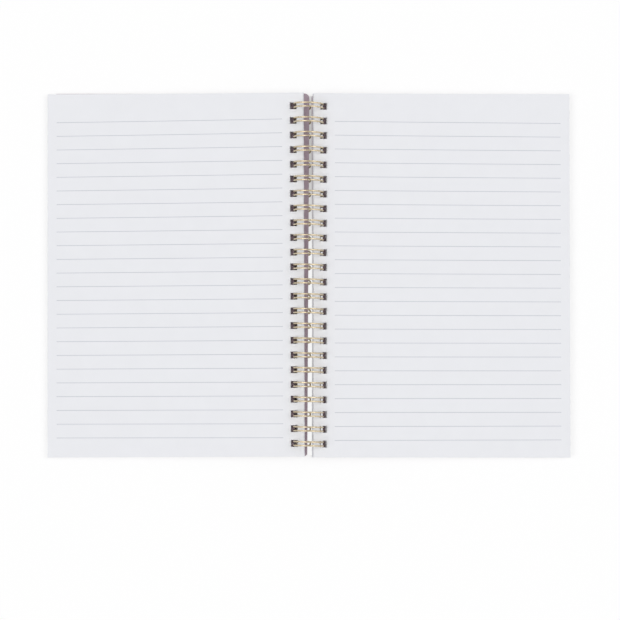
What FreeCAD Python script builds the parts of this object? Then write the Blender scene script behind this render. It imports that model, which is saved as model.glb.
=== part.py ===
import FreeCAD, Part
import math
import os

# An open wire-bound ruled notebook, lying on a table with its spine along Y.
# X runs across the two open pages, Y towards the heads of the pages and Z up from the table.
# All sizes are in millimetres.

Vector = FreeCAD.Vector

# Leaves: pages and covers are cut to one size and share one punching
LEAF_WIDTH = 148.0
LEAF_HEIGHT = 210.0
COVER_THICKNESS = 1.6
COVER_CORNER = 2.5
STACK_GAP = 0.05

# Page stacks: pressed flat at the fore-edge, loose and lifted by the wire at the spine
LEFT_AT_FORE_EDGE = 2.2
LEFT_AT_SPINE = 4.4
RIGHT_AT_FORE_EDGE = 3.0
RIGHT_AT_SPINE = 4.8
LIFTED_WIDTH = 100.0

# Punched holes
HOLE = 4.0
HOLE_PITCH = 25.4 / 3.0
HOLE_FROM_EDGE = 5.8
HOLE_FROM_END = 7.0

# Places of the spine edges, measured from the middle plane
COVER_EDGE = 0.3
LEFT_EDGE_LOW = 2.1
RIGHT_EDGE_LOW = 0.8
STACK_EDGE_TOP = 2.8
SLIDE_ALONG_SPINE = 0.3

# Twin-loop wire
WIRE = 0.9
WIRE_SIDES = 5
RING_RADIUS = 8.5
RING_CORNERS = 18
LOOP_WIDTH = 2.2
ROOT_ANGLE = -66.0
TIP_ANGLE = 270.0
ROOT_REACH = 0.7
TIP_CHAMFER = 0.5
COVER_ON_WIRE = 0.15

# Sizes that follow from the ones above
HOLE_COUNT = int((LEAF_HEIGHT - 2.0 * HOLE_FROM_END) / HOLE_PITCH) + 1
AXIS_HEIGHT = RING_RADIUS + WIRE / 2.0
RING_INSIDE = RING_RADIUS - WIRE / 2.0
HOLE_INNER_X = COVER_EDGE + HOLE_FROM_EDGE - HOLE / 2.0
WIRE_TOP_AT_HOLE = AXIS_HEIGHT - math.sqrt(RING_INSIDE ** 2 - HOLE_INNER_X ** 2)
COVER_REACH = COVER_EDGE + LEAF_WIDTH
COVER_TILT = math.degrees(math.asin((WIRE_TOP_AT_HOLE + COVER_ON_WIRE) / (COVER_REACH - HOLE_INNER_X)))


def loop_places():
    """Return the Y places of the loops along the spine."""
    first = -HOLE_PITCH * (HOLE_COUNT - 1) / 2.0
    return [first + HOLE_PITCH * index for index in range(HOLE_COUNT)]


def rectangle(x0, x1, y0, y1, corner=0.0):
    """Return a flat closed wire with its corners rounded by corner."""
    if corner <= 0.0:
        points = [Vector(x0, y0, 0), Vector(x1, y0, 0), Vector(x1, y1, 0), Vector(x0, y1, 0)]
        return Part.makePolygon(points + points[:1])
    slant = corner * (1.0 - math.sqrt(0.5))
    spots = [
        (Vector(x1 - corner, y0, 0), Vector(x1 - slant, y0 + slant, 0), Vector(x1, y0 + corner, 0)),
        (Vector(x1, y1 - corner, 0), Vector(x1 - slant, y1 - slant, 0), Vector(x1 - corner, y1, 0)),
        (Vector(x0 + corner, y1, 0), Vector(x0 + slant, y1 - slant, 0), Vector(x0, y1 - corner, 0)),
        (Vector(x0, y0 + corner, 0), Vector(x0 + slant, y0 + slant, 0), Vector(x0 + corner, y0, 0)),
    ]
    edges = []
    for index, (start, middle, end) in enumerate(spots):
        edges.append(Part.Arc(start, middle, end).toShape())
        edges.append(Part.LineSegment(end, spots[(index + 1) % 4][0]).toShape())
    return Part.Wire(edges)


def hole_punches(edge_low, edge_top, thickness, slide):
    """Return square bars that cut the holes, leaning as the leaves lean."""
    lean = Vector(edge_top - edge_low, 0, thickness)
    middle = edge_low + HOLE_FROM_EDGE
    half = HOLE / 2.0
    bars = []
    for place in loop_places():
        y = place + slide
        foot = Part.Face(rectangle(middle - half, middle + half, y - half, y + half))
        foot.translate(lean * -0.1)
        bars.append(foot.extrude(lean * 1.2))
    return Part.makeCompound(bars)


def laid_on_table(leaf):
    """Tilt a leaf so that its cover rests on the table outside and on the wire inside."""
    leaf.rotate(Vector(COVER_REACH, 0, 0), Vector(0, 1, 0), COVER_TILT)
    return leaf


def to_left(shape):
    """Mirror a shape to the left of the spine."""
    return shape.mirror(Vector(0, 0, 0), Vector(1, 0, 0))


def cover(slide):
    """Return a cover board on the right of the spine."""
    low = slide - LEAF_HEIGHT / 2.0
    outline = rectangle(COVER_EDGE, COVER_REACH, low, low + LEAF_HEIGHT, COVER_CORNER)
    board = Part.Face(outline).extrude(Vector(0, 0, COVER_THICKNESS))
    board = board.cut(hole_punches(COVER_EDGE, COVER_EDGE, COVER_THICKNESS, slide))
    return laid_on_table(board.Solids[0])


def stack_outline(edge_low, edge_top, at_spine, at_fore_edge, y):
    """Return the cross-section of a page stack, its upper side curving up to the spine."""
    drop = at_spine - at_fore_edge
    radius = (LIFTED_WIDTH ** 2 + drop ** 2) / (2.0 * drop)
    half_turn = math.asin(LIFTED_WIDTH / radius) / 2.0
    flat_from = edge_top + LIFTED_WIDTH
    foot = Vector(edge_low, y, 0)
    outer_foot = Vector(edge_low + LEAF_WIDTH, y, 0)
    outer_top = Vector(edge_top + LEAF_WIDTH, y, at_fore_edge)
    bend = Vector(flat_from, y, at_fore_edge)
    middle = Vector(
        flat_from - radius * math.sin(half_turn), y, at_fore_edge + radius * (1.0 - math.cos(half_turn))
    )
    top = Vector(edge_top, y, at_spine)
    edges = [
        Part.LineSegment(foot, outer_foot).toShape(),
        Part.LineSegment(outer_foot, outer_top).toShape(),
        Part.LineSegment(outer_top, bend).toShape(),
        Part.Arc(bend, middle, top).toShape(),
        Part.LineSegment(top, foot).toShape(),
    ]
    return Part.Face(Part.Wire(edges))


def page_stack(edge_low, edge_top, at_spine, at_fore_edge, slide):
    """Return a stack of pages on the right of the spine, lying on its cover.

    The stack leans outwards from edge_low at its foot to edge_top at its top, holes included.
    """
    low = slide - LEAF_HEIGHT / 2.0
    section = stack_outline(edge_low, edge_top, at_spine, at_fore_edge, low)
    stack = section.extrude(Vector(0, LEAF_HEIGHT, 0))
    stack = stack.cut(hole_punches(edge_low, edge_top, at_spine, slide)).Solids[0]
    stack.translate(Vector(0, 0, COVER_THICKNESS + STACK_GAP))
    return laid_on_table(stack)


def on_ring(angle, y):
    """Return a point of the ring's centre line at an angle from +X towards +Z."""
    turn = math.radians(angle)
    return Vector(RING_RADIUS * math.cos(turn), y, AXIS_HEIGHT + RING_RADIUS * math.sin(turn))


def outward(angle):
    """Return the direction away from the ring's axis at an angle."""
    turn = math.radians(angle)
    return Vector(math.cos(turn), 0, math.sin(turn))


def section_points():
    """Return the wire's section as (across, outward) pairs, even about the outward line."""
    points = []
    for index in range(WIRE_SIDES):
        turn = 2.0 * math.pi * index / WIRE_SIDES
        points.append((WIRE / 2.0 * math.sin(turn), WIRE / 2.0 * math.cos(turn)))
    return points


def ring_section():
    """Return the same section as (outward, across) pairs, for wire that runs round the ring."""
    return [(out, across) for across, out in reversed(section_points())]


def polygon_face(points):
    """Return the flat face inside a ring of points."""
    return Part.Face(Part.makePolygon(points + points[:1]))


def bent_bar(path, normal, section):
    """Return straight wire lengths along a flat path, mitred where they meet.

    The section's pairs run across the path in its plane, then along normal.
    """
    rings = []
    for index, point in enumerate(path):
        before = (point - path[index - 1]).normalize() if index > 0 else None
        after = (path[index + 1] - point).normalize() if index < len(path) - 1 else None
        way_in = before or after
        way_out = after or before
        side = (normal.cross(way_in) + normal.cross(way_out)).normalize()
        stretch = 1.0 / side.dot(normal.cross(way_in))
        rings.append([point + side * (first * stretch) + normal * second for first, second in section])
    faces = [polygon_face(rings[0][::-1]), polygon_face(rings[-1])]
    for ring, next_ring in zip(rings, rings[1:]):
        for index in range(WIRE_SIDES):
            following = (index + 1) % WIRE_SIDES
            faces.append(polygon_face([ring[index], ring[following], next_ring[following], next_ring[index]]))
    return Part.makeSolid(Part.makeShell(faces))


def hoop(y):
    """Return one wire of a loop, bent round the ring from its root to its tip."""
    step = (TIP_ANGLE - ROOT_ANGLE) / RING_CORNERS
    spread = 1.0 / math.cos(math.radians(step / 2.0))
    middle = Vector(0, y, AXIS_HEIGHT)
    path = [on_ring(ROOT_ANGLE, y)]
    for index in range(RING_CORNERS):
        path.append(middle + (on_ring(ROOT_ANGLE + step * (index + 0.5), y) - middle) * spread)
    path.append(on_ring(TIP_ANGLE, y))
    return bent_bar(path, Vector(0, 1, 0), ring_section())


def tip(y):
    """Return the closed end that joins the two wires of a loop."""
    ahead = Vector(0, -1, 0).cross(outward(TIP_ANGLE))
    half = LOOP_WIDTH / 2.0
    reach = half
    start = on_ring(TIP_ANGLE, y)
    spots = [
        (0.0, half),
        (reach - TIP_CHAMFER, half),
        (reach, half - TIP_CHAMFER),
        (reach, TIP_CHAMFER - half),
        (reach - TIP_CHAMFER, -half),
        (0.0, -half),
    ]
    path = [start + ahead * out + Vector(0, across, 0) for out, across in spots]
    return bent_bar(path, outward(TIP_ANGLE), section_points())


def root(y, side, length):
    """Return the foot of one wire, bent along the spine to the side it leaves by."""
    back = outward(ROOT_ANGLE).cross(Vector(0, -1, 0))
    start = on_ring(ROOT_ANGLE, y + side * LOOP_WIDTH / 2.0)
    corner = start + back * ROOT_REACH
    path = [start, corner, corner + Vector(0, side * length, 0)]
    return bent_bar(path, outward(ROOT_ANGLE), section_points())


def wire_binding():
    """Return the one wire that runs through every loop of the spine."""
    half_link = (HOLE_PITCH - LOOP_WIDTH) / 2.0
    half = LOOP_WIDTH / 2.0
    pieces = []
    for y in loop_places():
        pieces += [hoop(y - half), hoop(y + half), tip(y)]
        pieces += [root(y, -1, half_link), root(y, 1, half_link)]
    return pieces[0].multiFuse(pieces[1:]).removeSplitter().Solids[0]


def left_pages():
    """Return the pages already turned, on the left."""
    pages = page_stack(
        LEFT_EDGE_LOW, STACK_EDGE_TOP, LEFT_AT_SPINE, LEFT_AT_FORE_EDGE, SLIDE_ALONG_SPINE
    )
    return to_left(pages)


def right_pages():
    """Return the pages still to come, on the right."""
    return page_stack(
        RIGHT_EDGE_LOW, STACK_EDGE_TOP, RIGHT_AT_SPINE, RIGHT_AT_FORE_EDGE, -SLIDE_ALONG_SPINE
    )


NODES = {
    "wire_binding": wire_binding(),
    "front_cover": to_left(cover(SLIDE_ALONG_SPINE)),
    "back_cover": cover(-SLIDE_ALONG_SPINE),
    "left_pages": left_pages(),
    "right_pages": right_pages(),
}

for name, shape in NODES.items():
    shape.exportStep("parts/" + name + ".step")
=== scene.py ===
"""Open wire-bound ruled notebook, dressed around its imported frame.

Lengths are in millimetres inside the classes and in metres on the objects.
"""

from __future__ import annotations

import logging
import math
import random
from collections.abc import Callable
from dataclasses import dataclass, field, replace
from enum import Enum
from functools import partial

import bmesh
import bpy
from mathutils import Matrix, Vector

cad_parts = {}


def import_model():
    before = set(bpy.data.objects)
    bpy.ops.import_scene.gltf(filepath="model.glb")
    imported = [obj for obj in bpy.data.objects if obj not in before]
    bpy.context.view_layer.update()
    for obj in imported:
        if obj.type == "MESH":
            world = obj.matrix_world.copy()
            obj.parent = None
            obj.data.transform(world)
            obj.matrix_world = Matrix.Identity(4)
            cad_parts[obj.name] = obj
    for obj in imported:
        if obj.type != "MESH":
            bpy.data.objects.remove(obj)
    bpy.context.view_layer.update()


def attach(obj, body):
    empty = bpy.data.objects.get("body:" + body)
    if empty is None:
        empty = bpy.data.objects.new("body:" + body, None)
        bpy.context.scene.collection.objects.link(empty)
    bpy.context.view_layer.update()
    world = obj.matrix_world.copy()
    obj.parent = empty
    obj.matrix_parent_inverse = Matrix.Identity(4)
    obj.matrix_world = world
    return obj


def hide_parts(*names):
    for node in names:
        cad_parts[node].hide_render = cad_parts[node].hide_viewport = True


LOG = logging.getLogger("notebook")
MM = 0.001
MATH = "ShaderNodeMath"
NOISE = "ShaderNodeTexNoise"
# Nearly all of a noise texture's values lie between these two.
NOISE_LOW, NOISE_HIGH = 0.3, 0.7

Point = tuple[float, float, float]
FlatPoint = tuple[float, float]
Surface = Callable[[float, float], Point]


def linear_colour(hex_colour: str) -> tuple[float, float, float, float]:
    """Turn an sRGB hex colour into linear RGBA.

    Args:
        hex_colour: Six hex digits after a hash sign.

    Returns:
        Linear red, green, blue and an alpha of one.
    """
    channels = [int(hex_colour[place : place + 2], 16) / 255.0 for place in (1, 3, 5)]
    linear = [c / 12.92 if c <= 0.04045 else ((c + 0.055) / 1.055) ** 2.4 for c in channels]
    return (linear[0], linear[1], linear[2], 1.0)


def add_node(
    tree: bpy.types.NodeTree, kind: str, settings: dict | None = None, **inputs: object
) -> bpy.types.Node:
    """Add a node with its settings and its inputs.

    Args:
        tree: The node tree that gets the node.
        kind: The node's type name.
        settings: Attributes of the node, such as its operation.
        **inputs: Socket names with spaces as underscores, or in0, in1 by place. A socket is
            linked, a node is linked by its first output, and any other value is set.

    Returns:
        The new node.
    """
    node = tree.nodes.new(kind)
    for name, value in (settings or {}).items():
        setattr(node, name, value)
    for name, value in inputs.items():
        socket = node.inputs[int(name[2:]) if name[2:].isdigit() else name.replace("_", " ")]
        if isinstance(value, bpy.types.Node):
            value = value.outputs[0]
        if isinstance(value, bpy.types.NodeSocket):
            tree.links.new(value, socket)
        else:
            socket.default_value = value
    return node


def mesh_object(name: str, mesh: bmesh.types.BMesh) -> bpy.types.Object:
    """Put a finished mesh into the scene, with all its faces looking out.

    Args:
        name: The new object's name.
        mesh: The mesh, which is freed.

    Returns:
        The new object.
    """
    bmesh.ops.recalc_face_normals(mesh, faces=mesh.faces)
    data = bpy.data.meshes.new(name)
    mesh.to_mesh(data)
    mesh.free()
    made = bpy.data.objects.new(name, data)
    bpy.context.scene.collection.objects.link(made)
    return made


def new_material(name: str) -> tuple[bpy.types.Material, bpy.types.NodeTree]:
    """Make an empty node material.

    Args:
        name: The material's name.

    Returns:
        The material and its node tree.
    """
    material = bpy.data.materials.new(name)
    material.use_nodes = True
    material.node_tree.nodes.clear()
    return material, material.node_tree


class Side(Enum):
    """The side of the spine that a leaf lies on, as the sign of X."""

    LEFT = -1.0
    RIGHT = 1.0


@dataclass(frozen=True)
class Punching:
    """The row of square holes and the size of the leaves that share it.

    Attributes:
        width: A leaf's size away from the spine.
        height: A leaf's size along the spine.
        hole: Side of a hole.
        pitch: Distance from hole to hole, a third of an inch.
        count: Number of holes.
        from_edge: Distance from a leaf's spine edge to the middle of its holes.
        slide: How far the left leaves are slid towards the head and the right ones to the foot.
    """

    width: float = 148.0
    height: float = 210.0
    hole: float = 4.0
    pitch: float = 25.4 / 3.0
    count: int = 24
    from_edge: float = 5.8
    slide: float = 0.2

    def places(self) -> list[float]:
        """Return the holes' places along the spine."""
        first = -self.pitch * (self.count - 1) / 2.0
        return [first + self.pitch * index for index in range(self.count)]


@dataclass(frozen=True)
class Lie:
    """How an open leaf lies: its outer edge on the table and its spine side on the wire.

    Attributes:
        reach: Distance from the middle plane to the line where a cover meets the table.
        tilt: The slope from there up to the wire, in radians.
    """

    reach: float = 148.3
    tilt: float = math.radians(0.873)

    def place(self, side: Side, x: float, y: float, z: float) -> Point:
        """Tilt a point of a flat leaf and put it on its side, in metres.

        Args:
            side: The side of the spine.
            x: Distance from the middle plane.
            y: Place along the spine.
            z: Height above the leaf's own foot plane.

        Returns:
            The point in the row frame.
        """
        out = self.reach + (x - self.reach) * math.cos(self.tilt) + z * math.sin(self.tilt)
        up = (self.reach - x) * math.sin(self.tilt) + z * math.cos(self.tilt)
        return (side.value * out * MM, y * MM, up * MM)


@dataclass(frozen=True)
class Ruling:
    """Where a leaf's rules are printed, a little out of square as they come off the press.

    Attributes:
        first: The first rule's distance from the leaf's middle, at the spine edge.
        pitch: Distance from rule to rule, at the spine edge.
        skew: The first rule's slope across the leaf.
        fan: How much the pitch grows for each millimetre across the leaf.
        start: Where the rules start, from the spine edge.
        end: Where they end.
    """

    first: float
    pitch: float
    skew: float
    fan: float
    start: float = 12.2
    end: float = 142.8


@dataclass(frozen=True)
class WritingPaper:
    """Uncoated white writing paper, calendered smooth: matt, faintly cool, barely cloudy.

    Attributes:
        colour: The paper's white.
        rule_colour: The grey of the printed rules.
        rule_width: Width of a rule.
        rule_count: Number of rules.
        roughness: The sheet's roughness.
        cloud: Width of a cloud in the pulp.
        cloud_detail: Number of finer noises in the clouds.
        cloud_dimness: The share of the white that a cloud leaves.
        fibre: Width of a fibre, as drawn.
        fibre_detail: Number of finer noises in the fibres.
        bump_strength: How clearly the fibres stand out.
        bump_height: How high they stand.
    """

    colour: str = "#E9EAEE"
    rule_colour: str = "#BFC1CA"
    rule_width: float = 0.32
    rule_count: int = 24
    roughness: float = 0.62
    cloud: float = 9.0
    cloud_detail: float = 3.0
    cloud_dimness: float = 0.985
    fibre: float = 0.35
    fibre_detail: float = 4.0
    bump_strength: float = 0.08
    bump_height: float = 0.05

    def build(self, name: str, ruling: Ruling) -> bpy.types.Material:
        """Make the paper with its printed rules, placed by the leaf's own coordinates.

        Args:
            name: The side that the leaves lie on.
            ruling: The rules' places on the leaf.

        Returns:
            The material.
        """
        material, tree = new_material("calendered_writing_paper_" + name)
        leaf = add_node(tree, "ShaderNodeUVMap", {"uv_map": "leaf"})
        split = add_node(tree, "ShaderNodeSeparateXYZ", in0=leaf)
        across, along = split.outputs[0], split.outputs[1]
        # The rules are a row of lines counted down the leaf, kept between the first and the
        # last line and between the two ends that the press leaves clear.
        first = add_node(tree, MATH, {"operation": "MULTIPLY_ADD"}, in0=across, in1=ruling.skew,
                         in2=ruling.first * MM)
        pitch = add_node(tree, MATH, {"operation": "MULTIPLY_ADD"}, in0=across, in1=ruling.fan,
                         in2=ruling.pitch * MM)
        below = add_node(tree, MATH, {"operation": "SUBTRACT"}, in0=first, in1=along)
        counted = add_node(tree, MATH, {"operation": "DIVIDE"}, in0=below, in1=pitch)
        nearest = add_node(tree, MATH, {"operation": "ROUND"}, in0=counted)
        line = add_node(tree, MATH, {"operation": "COMPARE"}, in0=counted, in1=nearest,
                        in2=self.rule_width / ruling.pitch / 2.0)
        rows = add_node(tree, MATH, {"operation": "COMPARE"}, in0=counted,
                        in1=(self.rule_count - 1) / 2.0, in2=self.rule_count / 2.0)
        columns = add_node(tree, MATH, {"operation": "COMPARE"}, in0=across,
                           in1=(ruling.start + ruling.end) / 2.0 * MM,
                           in2=(ruling.end - ruling.start) / 2.0 * MM)
        printable = add_node(tree, MATH, {"operation": "MULTIPLY"}, in0=rows, in1=columns)
        ink = add_node(tree, MATH, {"operation": "MULTIPLY"}, in0=line, in1=printable)

        place = add_node(tree, "ShaderNodeTexCoord").outputs["Object"]
        # The pulp lies in clouds about a centimetre wide, so the white is never quite even.
        cloud = add_node(tree, NOISE, {}, Vector=place, Scale=1.0 / (self.cloud * MM),
                         Detail=self.cloud_detail)
        uneven = add_node(tree, "ShaderNodeMapRange", {}, Value=cloud, From_Min=NOISE_LOW,
                          From_Max=NOISE_HIGH, To_Min=self.cloud_dimness, To_Max=1.0)
        # Real fibres are about 0.03 mm wide, too fine to show, so they are drawn at 0.35 mm.
        fibre = add_node(tree, NOISE, {}, Vector=place, Scale=1.0 / (self.fibre * MM),
                         Detail=self.fibre_detail)
        sheet = add_node(tree, "ShaderNodeVectorMath", {"operation": "SCALE"},
                         in0=linear_colour(self.colour)[:3], Scale=uneven.outputs[0])
        printed = add_node(tree, "ShaderNodeMix", {"data_type": "RGBA"}, in0=ink,
                           in6=sheet.outputs[0], in7=linear_colour(self.rule_colour))
        bump = add_node(tree, "ShaderNodeBump", {}, Strength=self.bump_strength,
                        Distance=self.bump_height * MM, Height=fibre)
        # Calendering presses the sheet smooth but leaves no gloss: the eye sees a flat, soft white.
        shader = add_node(tree, "ShaderNodeBsdfPrincipled", {}, Base_Color=printed.outputs[2],
                          Roughness=self.roughness, Normal=bump)
        add_node(tree, "ShaderNodeOutputMaterial", {}, Surface=shader)
        return material


@dataclass(frozen=True)
class CoverBoard:
    """Grey board covered in plum paper: matt, faintly mottled, paler where its edges rub.

    Attributes:
        colour: The plum where the dye has taken least.
        shade: The plum where it has taken most.
        edge_colour: The colour of a rubbed edge.
        roughness: The covering paper's roughness.
        mottle: Width of a patch of the mottle.
        mottle_detail: Number of finer noises in the mottle.
        rub_from: How sharp an edge is where the dye starts to rub off. A flat face has a half.
        rub_full: How sharp it is where the dye has rubbed off.
        rub_share: The share of the rubbed colour there.
        grain: Distance between the felt marks, as drawn.
        grain_detail: Number of finer noises in the felt marks.
        bump_strength: How clearly the felt marks stand out.
        bump_height: How high they stand.
    """

    colour: str = "#BEA8B5"
    shade: str = "#AE9AA6"
    edge_colour: str = "#C4B8BD"
    roughness: float = 0.7
    mottle: float = 2.5
    mottle_detail: float = 5.0
    rub_from: float = 0.52
    rub_full: float = 0.6
    rub_share: float = 0.6
    grain: float = 0.25
    grain_detail: float = 3.0
    bump_strength: float = 0.25
    bump_height: float = 0.04

    def build(self) -> bpy.types.Material:
        """Return the covered board's material."""
        material, tree = new_material("plum_covered_board")
        place = add_node(tree, "ShaderNodeTexCoord").outputs["Object"]
        # The dye takes unevenly in the pulp, which gives a quiet mottle a few millimetres wide.
        mottle = add_node(tree, NOISE, {}, Vector=place, Scale=1.0 / (self.mottle * MM),
                          Detail=self.mottle_detail)
        tone = add_node(tree, "ShaderNodeMix", {"data_type": "RGBA"}, in0=mottle,
                        in6=linear_colour(self.shade), in7=linear_colour(self.colour))
        # The dye rubs off first where the board is bent over or cut, so edges and corners go pale.
        geometry = add_node(tree, "ShaderNodeNewGeometry")
        rubbed = add_node(tree, "ShaderNodeMapRange", {}, Value=geometry.outputs["Pointiness"],
                          From_Min=self.rub_from, From_Max=self.rub_full, To_Min=0.0,
                          To_Max=self.rub_share)
        worn = add_node(tree, "ShaderNodeMix", {"data_type": "RGBA"}, in0=rubbed,
                        in6=tone.outputs[2], in7=linear_colour(self.edge_colour))
        # The covering paper's felt marks are about 0.1 mm apart, and are drawn at 0.25 mm to show.
        grain = add_node(tree, NOISE, {}, Vector=place, Scale=1.0 / (self.grain * MM),
                         Detail=self.grain_detail)
        bump = add_node(tree, "ShaderNodeBump", {}, Strength=self.bump_strength,
                        Distance=self.bump_height * MM, Height=grain)
        # Uncoated dyed paper swallows the light: a dusty, dry colour with hardly a highlight.
        shader = add_node(tree, "ShaderNodeBsdfPrincipled", {}, Base_Color=worn.outputs[2],
                          Roughness=self.roughness, Normal=bump)
        add_node(tree, "ShaderNodeOutputMaterial", {}, Surface=shader)
        return material


@dataclass(frozen=True)
class GoldWire:
    """Steel wire with a bright pale gold plating, drawn smooth: a soft metal gleam.

    Attributes:
        colour: The plating on a raised mark.
        shade: The plating in a sunk mark.
        smoothest: Roughness of the smoothest marks.
        roughest: Roughness of the roughest.
        drawing: Width of the die's marks, as drawn.
        drawing_detail: Number of finer noises in the marks.
        bump_strength: How clearly the marks stand out.
        bump_height: How high they stand.
    """

    colour: str = "#DECFB4"
    shade: str = "#C4B492"
    smoothest: float = 0.22
    roughest: float = 0.35
    drawing: float = 0.6
    drawing_detail: float = 3.0
    bump_strength: float = 0.1
    bump_height: float = 0.02

    def build(self) -> bpy.types.Material:
        """Return the plated wire's material."""
        material, tree = new_material("gold_plated_wire")
        place = add_node(tree, "ShaderNodeTexCoord").outputs["Object"]
        # The die's marks are a few hundredths of a millimetre wide, and drawn at 0.6 mm to show.
        streak = add_node(tree, NOISE, {}, Vector=place, Scale=1.0 / (self.drawing * MM),
                          Detail=self.drawing_detail)
        tone = add_node(tree, "ShaderNodeMix", {"data_type": "RGBA"}, in0=streak,
                        in6=linear_colour(self.shade), in7=linear_colour(self.colour))
        rough = add_node(tree, "ShaderNodeMapRange", {}, Value=streak, From_Min=NOISE_LOW,
                         From_Max=NOISE_HIGH, To_Min=self.smoothest, To_Max=self.roughest)
        bump = add_node(tree, "ShaderNodeBump", {}, Strength=self.bump_strength,
                        Distance=self.bump_height * MM, Height=streak)
        # Thin plating on drawn wire keeps its sheen: a soft streak of light runs along every hoop.
        shader = add_node(tree, "ShaderNodeBsdfPrincipled", {}, Base_Color=tone.outputs[2],
                          Metallic=1.0, Roughness=rough, Normal=bump)
        add_node(tree, "ShaderNodeOutputMaterial", {}, Surface=shader)
        return material


@dataclass(frozen=True)
class WhiteTable:
    """A plain matt white table top, washed out by the light but for the notebook's soft shadow.

    Attributes:
        colour: The lacquer's own white.
        wash_colour: The white that it is washed towards.
        wash: The share of that white around the notebook.
        spine: Half the length of the strips beneath the spine.
        strips: Where each strip with a wash of its own starts and ends across the spine, and the
        share of its wash. That wash is painted glow: at 0.9 the table glows white through the
        right holes, and at nought it has none and keeps its real shade under the left holes and
        beside the gap.
        gap: Where the strip that shows between the two covers starts and ends.
        gap_painted_glow: That strip's painted glow towards the foot, which makes the shade between
            the
        covers look white.
        gap_painted_glow_at_head: Its painted glow at the head, which is less and so paints shade
            there.
        head_painted_shade: Where along the spine the one wash starts to turn into the other, and
            where
        it has done so. Less glow towards the head is painted shade there.
    """

    colour: str = "#FDFDFD"
    wash_colour: str = "#FFFFFF"
    wash: float = 0.7
    spine: float = 104.0
    # Painted light and shade: the table glows white under the right holes and gets no glow under
    # the left holes and beside the gap.
    strips: tuple[tuple[float, float, float], ...] = (
        (-12.0, -0.7, 0.0), (2.6, 7.3, 0.0), (7.3, 10.0, 0.9),
    )
    gap: tuple[float, float] = (-0.7, 2.6)
    gap_painted_glow: float = 0.9
    gap_painted_glow_at_head: float = 0.45
    head_painted_shade: tuple[float, float] = (10.0, 60.0)

    def build(self) -> bpy.types.Material:
        """Return the table top's material."""
        material, tree = new_material("white_lacquered_table")
        place = add_node(tree, "ShaderNodeTexCoord").outputs["Object"]
        split = add_node(tree, "ShaderNodeSeparateXYZ", in0=place)
        beside = add_node(tree, MATH, {"operation": "COMPARE"}, in0=split.outputs[1], in1=0.0,
                          in2=self.spine * MM)
        # Painted light: between the covers, where the table lies in deep shade, it glows as white
        # as it does around the notebook, and less towards the head, which paints shade there. Under
        # the covers' edges it gets no glow and keeps the real shade that the holes show.
        gap_glow_change = add_node(tree, "ShaderNodeMapRange", {}, Value=split.outputs[1],
                              From_Min=self.head_painted_shade[0] * MM, From_Max=self.head_painted_shade[1] * MM,
                              To_Min=self.gap_painted_glow - self.wash,
                              To_Max=self.gap_painted_glow_at_head - self.wash)
        # Each strip's painted glow, as a change from the even white around the notebook.
        changes = [(start, end, level - self.wash) for start, end, level in self.strips]
        changes.append((*self.gap, gap_glow_change))
        share = self.wash
        for start, end, change in changes:
            strip = add_node(tree, MATH, {"operation": "COMPARE"}, in0=split.outputs[0],
                             in1=(start + end) / 2.0 * MM, in2=(end - start) / 2.0 * MM)
            inside = add_node(tree, MATH, {"operation": "MULTIPLY"}, in0=strip, in1=beside)
            share = add_node(tree, MATH, {"operation": "MULTIPLY_ADD"}, in0=inside, in1=change,
                             in2=share)
        path = add_node(tree, "ShaderNodeLightPath")
        looked = add_node(tree, MATH, {"operation": "MAXIMUM"},
                          in0=path.outputs["Is Camera Ray"], in1=path.outputs["Is Glossy Ray"])
        seen = add_node(tree, MATH, {"operation": "MAXIMUM"}, in0=looked,
                        in1=path.outputs["Is Transmission Ray"])
        # The even white and the painted glow of the strips show only to the eye and in reflections.
        white_and_painted_glow = add_node(tree, MATH, {"operation": "MULTIPLY"}, in0=share, in1=seen)
        # Matt lacquer over a smooth board: nothing to see but its white and the soft shadow on it.
        matt = add_node(tree, "ShaderNodeBsdfDiffuse", {}, Color=linear_colour(self.colour))
        white = add_node(tree, "ShaderNodeEmission", {}, Color=linear_colour(self.wash_colour),
                         Strength=1.0)
        mixed = add_node(tree, "ShaderNodeMixShader", {}, in0=white_and_painted_glow, in1=matt, in2=white)
        add_node(tree, "ShaderNodeOutputMaterial", {}, Surface=mixed)
        return material


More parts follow.
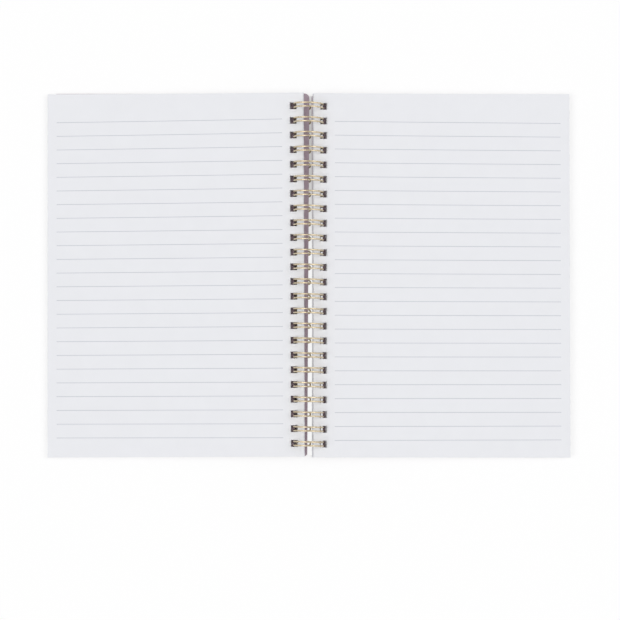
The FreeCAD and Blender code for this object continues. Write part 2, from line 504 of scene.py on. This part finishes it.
@dataclass
class PunchedOutline:
    """The flat pattern of a leaf: strips across it, cut by the row of holes.

    Attributes:
        punching: The leaf's holes and size.
        bends: Where its strips end, from the spine edge. The last is the leaf's own width.
        corner: Radius of its corners.
        corner_steps: Number of faces round a corner.
        border: Width of the narrow faces along its two ends, nought for none.
        corner_clearance: Least distance between a corner at the spine and the holes.
    """

    punching: Punching
    bends: list[float]
    corner: float = 0.0
    corner_steps: int = 6
    border: float = 0.0
    corner_clearance: float = 0.1

    def corner_points(
        self, u: float, v: float, u_way: float, v_way: float, radius: float
    ) -> list[FlatPoint]:
        """Return a corner's points, walked from its V side to its U side.

        Args:
            u: The corner's place across the leaf.
            v: The corner's place along the leaf.
            u_way: Sign of the way into the leaf along U.
            v_way: Sign of the way into the leaf along V.
            radius: The corner's radius.

        Returns:
            One point for a sharp corner, or an arc of points.
        """
        if radius <= 0.0:
            return [(u, v)]
        middle_u, middle_v = u + u_way * radius, v + v_way * radius
        turns = [math.pi / 2.0 * step / self.corner_steps for step in range(self.corner_steps + 1)]
        return [
            (middle_u - u_way * radius * math.cos(turn), middle_v - v_way * radius * math.sin(turn))
            for turn in turns
        ]

    def polygons(self) -> list[list[FlatPoint]]:
        """Return the leaf's flat polygons, with U from the spine edge and V along the leaf."""
        cut = self.punching
        low, high = -cut.height / 2.0, cut.height / 2.0
        near = cut.from_edge - cut.hole / 2.0
        far = cut.from_edge + cut.hole / 2.0
        marks = [low]
        for place in cut.places():
            marks += [place - cut.hole / 2.0, place + cut.hole / 2.0]
        marks.append(high)
        spine_corner = min(self.corner, near - self.corner_clearance)
        spine_low = self.corner_points(0.0, low, 1.0, 1.0, spine_corner)
        spine_high = self.corner_points(0.0, high, 1.0, -1.0, spine_corner)
        strip = spine_low + [(near, v) for v in marks] + spine_high[::-1]
        shapes = [strip]
        for index in range(0, len(marks), 2):
            bottom, top = marks[index], marks[index + 1]
            shapes.append([(near, bottom), (far, bottom), (far, top), (near, top)])
        columns = [far] + self.bends
        rows = [low, high]
        if self.border > 0.0:
            rows = [low, low + self.border, high - self.border, high]
        shapes.append([(far, v) for v in marks[::-1]] + [(columns[1], v) for v in rows])
        for start, end in zip(columns[1:], columns[2:]):
            for bottom, top in zip(rows, rows[1:]):
                outer = end == columns[-1]
                low_corner = self.corner if outer and bottom == low else 0.0
                high_corner = self.corner if outer and top == high else 0.0
                below = self.corner_points(end, bottom, -1.0, 1.0, low_corner)[::-1]
                above = self.corner_points(end, top, -1.0, -1.0, high_corner)
                shapes.append([(start, top), (start, bottom)] + below + above)
        return shapes


class SheetMesh:
    """A mesh of thin punched sheets, each with its two faces and its cut edges.

    Attributes:
        WELD_DIGITS: Flat points that agree to this many places of a millimetre are one.
        name: The name of the object to come.
        mesh: The mesh.
        leaf: The layer of the leaf's own coordinates, which place the rules.
    """

    WELD_DIGITS = 4

    def __init__(self, name: str) -> None:
        """Start an empty mesh that carries leaf coordinates."""
        self.name = name
        self.mesh = bmesh.new()
        self.leaf = self.mesh.loops.layers.uv.new("leaf")

    def add(self, polygons: list[list[FlatPoint]], upper: Surface, lower: Surface) -> None:
        """Add one sheet.

        Args:
            polygons: The sheet's flat pattern.
            upper: Function from (u, v) to a point of the upper face.
            lower: Function from (u, v) to a point of the lower face.
        """
        corners: dict[FlatPoint, tuple] = {}
        # The keys of a dict keep their order, so the faces come in the same order each run.
        edges: dict[tuple[FlatPoint, FlatPoint], None] = {}

        def pair(flat: FlatPoint) -> tuple:
            """Return the upper and lower vertices at a flat point, and the point itself."""
            key = (round(flat[0], self.WELD_DIGITS), round(flat[1], self.WELD_DIGITS))
            if key not in corners:
                vertices = [self.mesh.verts.new(surface(*flat)) for surface in (upper, lower)]
                corners[key] = (*vertices, key)
            return corners[key]

        def face(points: list[tuple]) -> None:
            """Add a face from (vertex, flat point) pairs."""
            made = self.mesh.faces.new([vertex for vertex, _ in points])
            for loop, (_, flat) in zip(made.loops, points):
                loop[self.leaf].uv = (flat[0] * MM, flat[1] * MM)

        for polygon in polygons:
            pairs = [pair(flat) for flat in polygon]
            face([(p[0], p[2]) for p in pairs])
            face([(p[1], p[2]) for p in reversed(pairs)])
            for first, second in zip(pairs, pairs[1:] + pairs[:1]):
                edges[(first[2], second[2])] = None
        for start, end in edges:
            if (end, start) not in edges:
                a, b = corners[start], corners[end]
                face([(a[0], a[2]), (a[1], a[2]), (b[1], b[2]), (b[0], b[2])])

    def finish(self) -> bpy.types.Object:
        """Return the finished mesh as an object in the scene."""
        return mesh_object(self.name, self.mesh)


@dataclass(frozen=True)
class Sheet:
    """Where one sheet of a stack lies.

    Attributes:
        share: Its upper face's place in the stack's height, from nought to one.
        edge: Its spine edge's distance from the middle plane.
        along: How far it has slid along the spine.
        turn: Its turn about its holes, in radians.
    """

    share: float
    edge: float
    along: float
    turn: float


@dataclass
class PageStack:
    """A stack of ruled leaves hung on the wire, each sheet with its own cut edges.

    Attributes:
        side: The side of the spine.
        body: The body that the stack rides on.
        node: The node that it stands for.
        sheets: Number of sheets.
        edges: Where the sheets' spine edges lie, at shares of the stack's height.
        at_spine: Thickness at the spine.
        at_fore_edge: Thickness of the part that lies pressed together.
        turn: The top sheet's turn, in degrees.
        low_turn: The lowest sheet's turn, in degrees.
        ruling: The rules' places.
        seed: Start of the stack's random draws.
        lifted_width: How far from the spine the sheets are lifted.
        curve_steps: Number of strips in the lifted part.
        last_bend: Where the outermost strip starts.
        foot: Height of the stack's foot over the lower face of its cover.
        sheet_thickness: Thickness of a sheet.
        wander: How far a sheet may lie in or out of line at the spine.
        drift: How far a sheet may slide along the spine.
        punching: The holes and the leaves' size.
        lie: How the cover beneath lies.
        paper: The sheets' finish.
    """

    side: Side
    body: str
    node: str
    sheets: int
    edges: tuple[tuple[float, float], ...]
    at_spine: float
    at_fore_edge: float
    turn: float
    low_turn: float
    ruling: Ruling
    seed: int
    lifted_width: float = 100.0
    curve_steps: int = 14
    last_bend: float = 124.0
    foot: float = 1.65
    sheet_thickness: float = 0.085
    wander: float = 0.07
    drift: float = 0.04
    punching: Punching = field(default_factory=Punching)
    lie: Lie = field(default_factory=Lie)
    paper: WritingPaper = field(default_factory=WritingPaper)

    def thickness_at(self, u: float) -> float:
        """Return the stack's thickness at a distance from its spine edge."""
        drop = self.at_spine - self.at_fore_edge
        radius = (self.lifted_width**2 + drop**2) / (2.0 * drop)
        lifted = max(0.0, self.lifted_width - u)
        return self.at_fore_edge + radius - math.sqrt(radius**2 - lifted**2)

    def edge_at(self, share: float) -> float:
        """Return the spine edge's place for a sheet at a share of the stack's height."""
        for (low, first), (high, second) in zip(self.edges, self.edges[1:]):
            if share <= high:
                return first + (second - first) * (share - low) / (high - low)
        return self.edges[-1][1]

    def bends(self) -> list[float]:
        """Return where the leaves' strips end, close together where they curve."""
        start = self.punching.from_edge + self.punching.hole / 2.0
        curved = [
            start + (self.lifted_width - start) * step / self.curve_steps
            for step in range(1, self.curve_steps + 1)
        ]
        return curved + [self.last_bend, self.punching.width]

    def point(self, sheet: Sheet, drop: float, u: float, v: float) -> Point:
        """Place a point of a sheet.

        Args:
            sheet: Where the sheet lies.
            drop: Depth below the sheet's upper face.
            u: Distance from the sheet's spine edge.
            v: Place along the sheet.

        Returns:
            The point, in metres.
        """
        hung = self.punching.from_edge
        pivot = u - hung
        x = sheet.edge + hung + pivot * math.cos(sheet.turn) + v * math.sin(sheet.turn)
        y = sheet.along - pivot * math.sin(sheet.turn) + v * math.cos(sheet.turn)
        z = self.foot + self.thickness_at(u) * sheet.share - drop
        return self.lie.place(self.side, x, y, z)

    def build(self) -> bpy.types.Object:
        """Build, dress and attach the stack, and return it."""
        rng = random.Random(self.seed)
        outline = PunchedOutline(self.punching, bends=self.bends()).polygons()
        sheets = SheetMesh(self.node + "_leaves")
        slide = -self.side.value * self.punching.slide
        for index in range(self.sheets):
            share = (index + 1) / self.sheets
            edge = self.edge_at(share) + rng.uniform(-1, 1) * self.wander
            along = slide + rng.uniform(-1, 1) * self.drift
            turn = math.radians(self.low_turn + (self.turn - self.low_turn) * share)
            sheet = Sheet(share, edge, along, turn)
            sheets.add(outline, partial(self.point, sheet, 0.0),
                       partial(self.point, sheet, self.sheet_thickness))
        leaves = sheets.finish()
        leaves.data.materials.append(self.paper.build(self.side.name.lower(), self.ruling))
        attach(leaves, self.body)
        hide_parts(self.node)
        LOG.info("%s: %d sheets, %d faces", self.node, self.sheets, len(leaves.data.polygons))
        return leaves


@dataclass
class Cover:
    """A cover board with rounded corners and softened edges, punched like the leaves.

    Attributes:
        side: The side of the spine.
        body: The body that the cover rides on.
        node: The node that it stands for.
        finish: Its material.
        edge: The spine edge's distance from the middle plane.
        edge_skew: How far out of square that edge is cut, as a slope.
        first_hole: Where the holes start, from the middle plane.
        fore_edge: The fore-edge's distance from the middle plane.
        thickness: The board's thickness.
        corner: Radius of its corners.
        border: Width of the narrow faces along its edges.
        softened: How far its edges are rounded over.
        softened_steps: Number of faces that round them over.
        sharp_angle: The least angle of an edge that is rounded over, in degrees.
        punching: The holes and the leaves' size.
        lie: How the cover lies.
    """

    side: Side
    body: str
    node: str
    finish: bpy.types.Material
    edge: float
    edge_skew: float = 0.0
    first_hole: float = 4.1
    fore_edge: float = 148.3
    thickness: float = 1.6
    corner: float = 2.5
    border: float = 4.0
    softened: float = 0.25
    softened_steps: int = 2
    sharp_angle: float = 50.0
    punching: Punching = field(default_factory=Punching)
    lie: Lie = field(default_factory=Lie)

    def build(self) -> bpy.types.Object:
        """Build, dress and attach the cover, and return it."""
        margin = self.first_hole - self.edge
        punching = replace(self.punching, from_edge=margin + self.punching.hole / 2.0)
        width = self.fore_edge - self.edge
        beside_holes = punching.from_edge + punching.hole / 2.0 + self.border
        outline = PunchedOutline(punching, bends=[beside_holes, width - self.border, width],
                                 corner=self.corner, border=self.border)
        board = SheetMesh(self.node + "_board")
        slide = -self.side.value * punching.slide

        def surface(height: float, u: float, v: float) -> Point:
            """Place a point of the board, whose spine edge is cut a little out of square."""
            skewed = max(0.0, 1.0 - u / margin) * self.edge_skew * v
            return self.lie.place(self.side, self.edge + u - skewed, slide + v, height)

        board.add(outline.polygons(), partial(surface, self.thickness), partial(surface, 0.0))
        cover = board.finish()
        soft = cover.modifiers.new("softened_edges", "BEVEL")
        soft.width = self.softened * MM
        soft.segments = self.softened_steps
        soft.limit_method = "ANGLE"
        soft.angle_limit = math.radians(self.sharp_angle)
        cover.data.materials.append(self.finish)
        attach(cover, self.body)
        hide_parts(self.node)
        LOG.info("%s: board with %d faces", self.node, len(cover.data.polygons))
        return cover


@dataclass
class TwinLoopWire:
    """One wire bent into a pair of hoops at every hole and closed behind the back cover.

    Attributes:
        finish: Its material.
        wire: Thickness of the wire.
        ring: Radius of the hoops' centre line.
        loop_width: Distance between the two hoops of a pair.
        root_angle: Where on the ring a hoop starts, in degrees from +X towards +Z.
        tip_angle: Where on the ring it ends in its closed tip.
        root_reach: Radius of the bend from a hoop into the link to the next pair.
        lean: The hoops' slope along the spine.
        sides: Number of faces round the wire.
        hoop_steps: Number of lengths in a hoop.
        bend_steps: Number of lengths in a bend.
        tip_steps: Number of lengths in a tip.
        punching: The holes that the hoops go through.
    """

    finish: bpy.types.Material
    wire: float = 0.9
    ring: float = 8.5
    loop_width: float = 2.2
    root_angle: float = -66.0
    tip_angle: float = 270.0
    root_reach: float = 0.7
    lean: float = 0.025
    sides: int = 12
    hoop_steps: int = 60
    bend_steps: int = 5
    tip_steps: int = 10
    punching: Punching = field(default_factory=Punching)

    def on_ring(self, angle: float, y: float) -> Vector:
        """Return a point of the ring at an angle from +X towards +Z."""
        turn = math.radians(angle)
        height = self.ring + self.wire / 2.0
        out = self.ring * math.cos(turn)
        return Vector((out, y - self.lean * out, height + self.ring * math.sin(turn)))

    def root_bend(self, y: float, side: float) -> list[Vector]:
        """Return the bend from a hoop's foot to the link, on the side it leaves by."""
        turn = math.radians(self.root_angle)
        back = Vector((math.sin(turn), 0.0, -math.cos(turn)))
        foot = self.on_ring(self.root_angle, y)
        points = []
        for step in range(1, self.bend_steps + 1):
            bend = math.pi / 2.0 * step / self.bend_steps
            across = Vector((0.0, side * self.root_reach * (1.0 - math.cos(bend)), 0.0))
            points.append(foot + back * self.root_reach * math.sin(bend) + across)
        return points

    def hoop(self, y: float) -> list[Vector]:
        """Return a hoop's centre line from its root to its tip."""
        span = self.tip_angle - self.root_angle
        return [
            self.on_ring(self.root_angle + span * step / self.hoop_steps, y)
            for step in range(self.hoop_steps + 1)
        ]

    def centre_line(self) -> list[Vector]:
        """Return the centre line of the whole wire."""
        half = self.loop_width / 2.0
        stub = (self.punching.pitch - self.loop_width) / 2.0
        line: list[Vector] = []
        for y in self.punching.places():
            into = self.root_bend(y - half, -1.0)[::-1]
            if not line:
                line.append(into[0] + Vector((0.0, self.root_reach - stub, 0.0)))
            tip = []
            for step in range(1, self.tip_steps):
                turn = math.pi * step / self.tip_steps
                start = self.on_ring(self.tip_angle, y)
                tip.append(start + Vector((half * math.sin(turn), -half * math.cos(turn), 0.0)))
            line += into + self.hoop(y - half) + tip
            line += self.hoop(y + half)[::-1] + self.root_bend(y + half, 1.0)
        line.append(line[-1] + Vector((0.0, stub - self.root_reach, 0.0)))
        return line

    def build(self, body: str, node: str) -> bpy.types.Object:
        """Build, dress and attach the wire.

        Args:
            body: The body that the wire rides on.
            node: The node that it stands for.

        Returns:
            The wire.
        """
        line = self.centre_line()
        mesh = bmesh.new()
        rings = []
        across = Vector((0.0, 0.0, 1.0))
        for index, point in enumerate(line):
            ahead = (line[min(index + 1, len(line) - 1)] - line[max(index - 1, 0)]).normalized()
            across = (across - ahead * across.dot(ahead)).normalized()
            other = ahead.cross(across)
            ring = []
            for side in range(self.sides):
                turn = 2.0 * math.pi * side / self.sides
                spoke = (across * math.cos(turn) + other * math.sin(turn)) * (self.wire / 2.0)
                ring.append(mesh.verts.new((point + spoke) * MM))
            rings.append(ring)
        for first, second in zip(rings, rings[1:]):
            for side in range(self.sides):
                beside = (side + 1) % self.sides
                face = mesh.faces.new((first[side], first[beside], second[beside], second[side]))
                face.smooth = True
        mesh.faces.new(rings[0][::-1])
        mesh.faces.new(rings[-1])
        wire = mesh_object("twin_loop_wire", mesh)
        wire.data.materials.append(self.finish)
        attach(wire, body)
        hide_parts(node)
        LOG.info("twin_loop_wire: %d faces", len(wire.data.polygons))
        return wire


@dataclass(frozen=True)
class SideLamp:
    """A broad soft lamp that leans in from one side of the table.

    Attributes:
        name: The lamp's name.
        strength: Its strength.
        from_top: How far it leans in from the head of the notebook, in degrees.
        from_right: How far it leans in from the right, in degrees.
        softness: How wide it is, seen from the table, in degrees.
    """

    name: str
    strength: float
    from_top: float
    from_right: float
    softness: float = 35.0

    def build(self) -> None:
        """Add the lamp to the scene."""
        lamp = bpy.data.lights.new(self.name, "SUN")
        lamp.energy = self.strength
        lamp.angle = math.radians(self.softness)
        sun = bpy.data.objects.new(self.name, lamp)
        sun.rotation_euler = (math.radians(-self.from_top), math.radians(self.from_right), 0.0)
        bpy.context.scene.collection.objects.link(sun)


@dataclass
class Studio:
    """The white table in a white room with a dim ceiling, two lamps and the camera above.

    Attributes:
        table_size: Side of the table top.
        room_colour: The room's white.
        ambient: Strength of the light that the room gives.
        ceiling: How bright the ceiling is in reflections, beside the walls.
        ceiling_from: Height in the room, as the cosine of its angle from straight up, where the
            walls start to turn into the ceiling.
        ceiling_full: Height where they have done so.
        lamps: The lamps.
        distance: The camera's distance from what it looks at.
        tilt: Its angle from straight down, in radians.
        frame_width: Width of the view at that distance.
        sensor: Width of the camera's sensor.
        clip: The nearest and farthest that it sees, in metres.
        aim: What it looks at.
    """

    table_size: float = 6000.0
    room_colour: str = "#FFFFFF"
    ambient: float = 0.5
    ceiling: float = 0.45
    ceiling_from: float = 0.55
    ceiling_full: float = 0.95
    lamps: tuple[SideLamp, ...] = (
        SideLamp("left_lamp", strength=1.02, from_top=-8.0, from_right=-35.0),
        SideLamp("right_lamp", strength=0.92, from_top=6.0, from_right=35.0),
    )
    distance: float = 1500.0
    tilt: float = math.radians(2.3)
    frame_width: float = 357.1
    sensor: float = 36.0
    clip: tuple[float, float] = (0.01, 50.0)
    aim: Point = (0.86, -20.46, 7.0)

    def build_table(self) -> None:
        """Lay the table top under the notebook."""
        half = self.table_size * MM / 2.0
        mesh = bpy.data.meshes.new("table_top")
        corners = [(-half, -half, 0.0), (half, -half, 0.0), (half, half, 0.0), (-half, half, 0.0)]
        mesh.from_pydata(corners, [], [(0, 1, 2, 3)])
        table = bpy.data.objects.new("table_top", mesh)
        bpy.context.scene.collection.objects.link(table)
        mesh.materials.append(WhiteTable().build())

    def build_light(self) -> None:
        """Set the room's even light, dimmer from the ceiling, and the two lamps."""
        world = bpy.data.worlds.new("white_room")
        bpy.context.scene.world = world
        world.use_nodes = True
        tree = world.node_tree
        tree.nodes.clear()
        way = add_node(tree, "ShaderNodeTexCoord").outputs["Generated"]
        height = add_node(tree, "ShaderNodeSeparateXYZ", in0=way).outputs[2]
        room = add_node(tree, "ShaderNodeMapRange", {"interpolation_type": "SMOOTHSTEP"},
                        Value=height, From_Min=self.ceiling_from, From_Max=self.ceiling_full,
                        To_Min=1.0, To_Max=self.ceiling)
        path = add_node(tree, "ShaderNodeLightPath")
        seen = add_node(tree, MATH, {"operation": "MAXIMUM"},
                        in0=path.outputs["Is Camera Ray"], in1=path.outputs["Is Transmission Ray"])
        level = add_node(tree, "ShaderNodeMapRange", {}, Value=seen, To_Min=self.ambient,
                         To_Max=1.0)
        strength = add_node(tree, "ShaderNodeMix", {"data_type": "FLOAT"},
                            in0=path.outputs["Is Glossy Ray"], in2=level, in3=room)
        sky = add_node(tree, "ShaderNodeBackground", {}, Color=linear_colour(self.room_colour),
                       Strength=strength)
        add_node(tree, "ShaderNodeOutputWorld", {}, Surface=sky)
        for lamp in self.lamps:
            lamp.build()

    def build_camera(self) -> None:
        """Hang the camera above the pages, a little towards their foot."""
        lens = bpy.data.cameras.new("camera")
        lens.sensor_width = self.sensor
        lens.lens = self.sensor * self.distance / self.frame_width
        lens.clip_start, lens.clip_end = self.clip
        camera = bpy.data.objects.new("camera", lens)
        x, y, z = self.aim
        back, up = self.distance * math.sin(self.tilt), self.distance * math.cos(self.tilt)
        camera.location = (x * MM, (y - back) * MM, (z + up) * MM)
        camera.rotation_euler = (self.tilt, 0.0, 0.0)
        bpy.context.scene.collection.objects.link(camera)
        bpy.context.scene.camera = camera


def main() -> None:
    """Build the notebook's pieces and the studio around them."""
    logging.basicConfig(level=logging.INFO, format="%(message)s")
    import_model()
    board = CoverBoard().build()
    TwinLoopWire(GoldWire().build()).build("back", "wire_binding")
    Cover(Side.LEFT, "front", "front_cover", board, edge=0.1, edge_skew=0.0055, first_hole=4.0,
          fore_edge=148.2).build()
    Cover(Side.RIGHT, "back", "back_cover", board, edge=2.1, edge_skew=0.0032).build()
    PageStack(
        Side.LEFT, "left_leaves", "left_pages", sheets=22, edges=((0.0, 2.4), (1.0, 2.6)),
        at_spine=4.4, at_fore_edge=2.2, turn=0.22, low_turn=0.15,
        ruling=Ruling(first=89.89, pitch=8.0, skew=-0.0098, fan=-0.00053), seed=3,
    ).build()
    PageStack(
        Side.RIGHT, "right_leaves", "right_pages", sheets=30,
        edges=((0.0, 2.1), (0.6, 2.4), (1.0, 2.9)),
        at_spine=4.8, at_fore_edge=3.0, turn=0.05, low_turn=0.1,
        ruling=Ruling(first=88.74, pitch=8.004, skew=-0.0056, fan=-0.00037), seed=8,
    ).build()
    studio = Studio()
    studio.build_table()
    studio.build_light()
    studio.build_camera()
    bpy.context.scene.view_settings.view_transform = "Standard"


if __name__ == "__main__":
    main()
